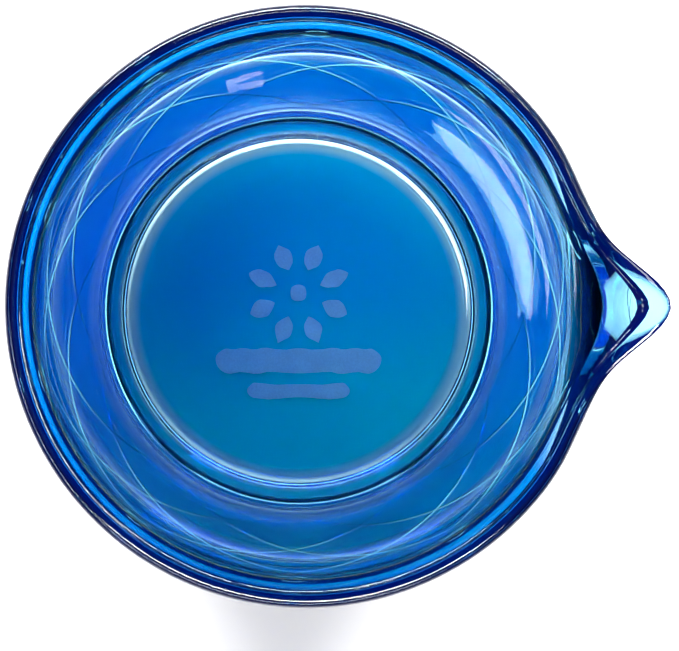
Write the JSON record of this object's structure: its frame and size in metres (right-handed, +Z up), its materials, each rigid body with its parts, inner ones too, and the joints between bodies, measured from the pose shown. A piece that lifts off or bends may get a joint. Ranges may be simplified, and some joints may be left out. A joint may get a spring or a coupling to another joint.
{
  "type": "bar mixing glass",
  "caption": "Tall barrel-shaped blue mixing glass with a beaded flared rim, a pulled pouring lip, a diamond lattice cut round the wall and a thick base.",
  "frame": {"origin": "where the axis of the glass meets the surface that it stands on", "axes": "+Z up along the axis of the glass, +X towards the pouring lip, +Y across it"},
  "size_m": [0.105, 0.0948, 0.148],
  "materials": {
    "blue_glass": "clear polished blue glass",
    "frosted_enamel": "fired matt enamel, pale blue-white"
  },
  "bodies": {
    "root": {"glass_vessel": "blue_glass", "emblem_petal_1": "frosted_enamel", "emblem_petal_2": "frosted_enamel", "emblem_petal_3": "frosted_enamel", "emblem_petal_4": "frosted_enamel", "emblem_petal_5": "frosted_enamel", "emblem_petal_6": "frosted_enamel", "emblem_petal_7": "frosted_enamel", "emblem_petal_8": "frosted_enamel", "emblem_hub": "frosted_enamel", "emblem_bar_wide": "frosted_enamel", "emblem_bar_narrow": "frosted_enamel"}
  },
  "joints": []
}
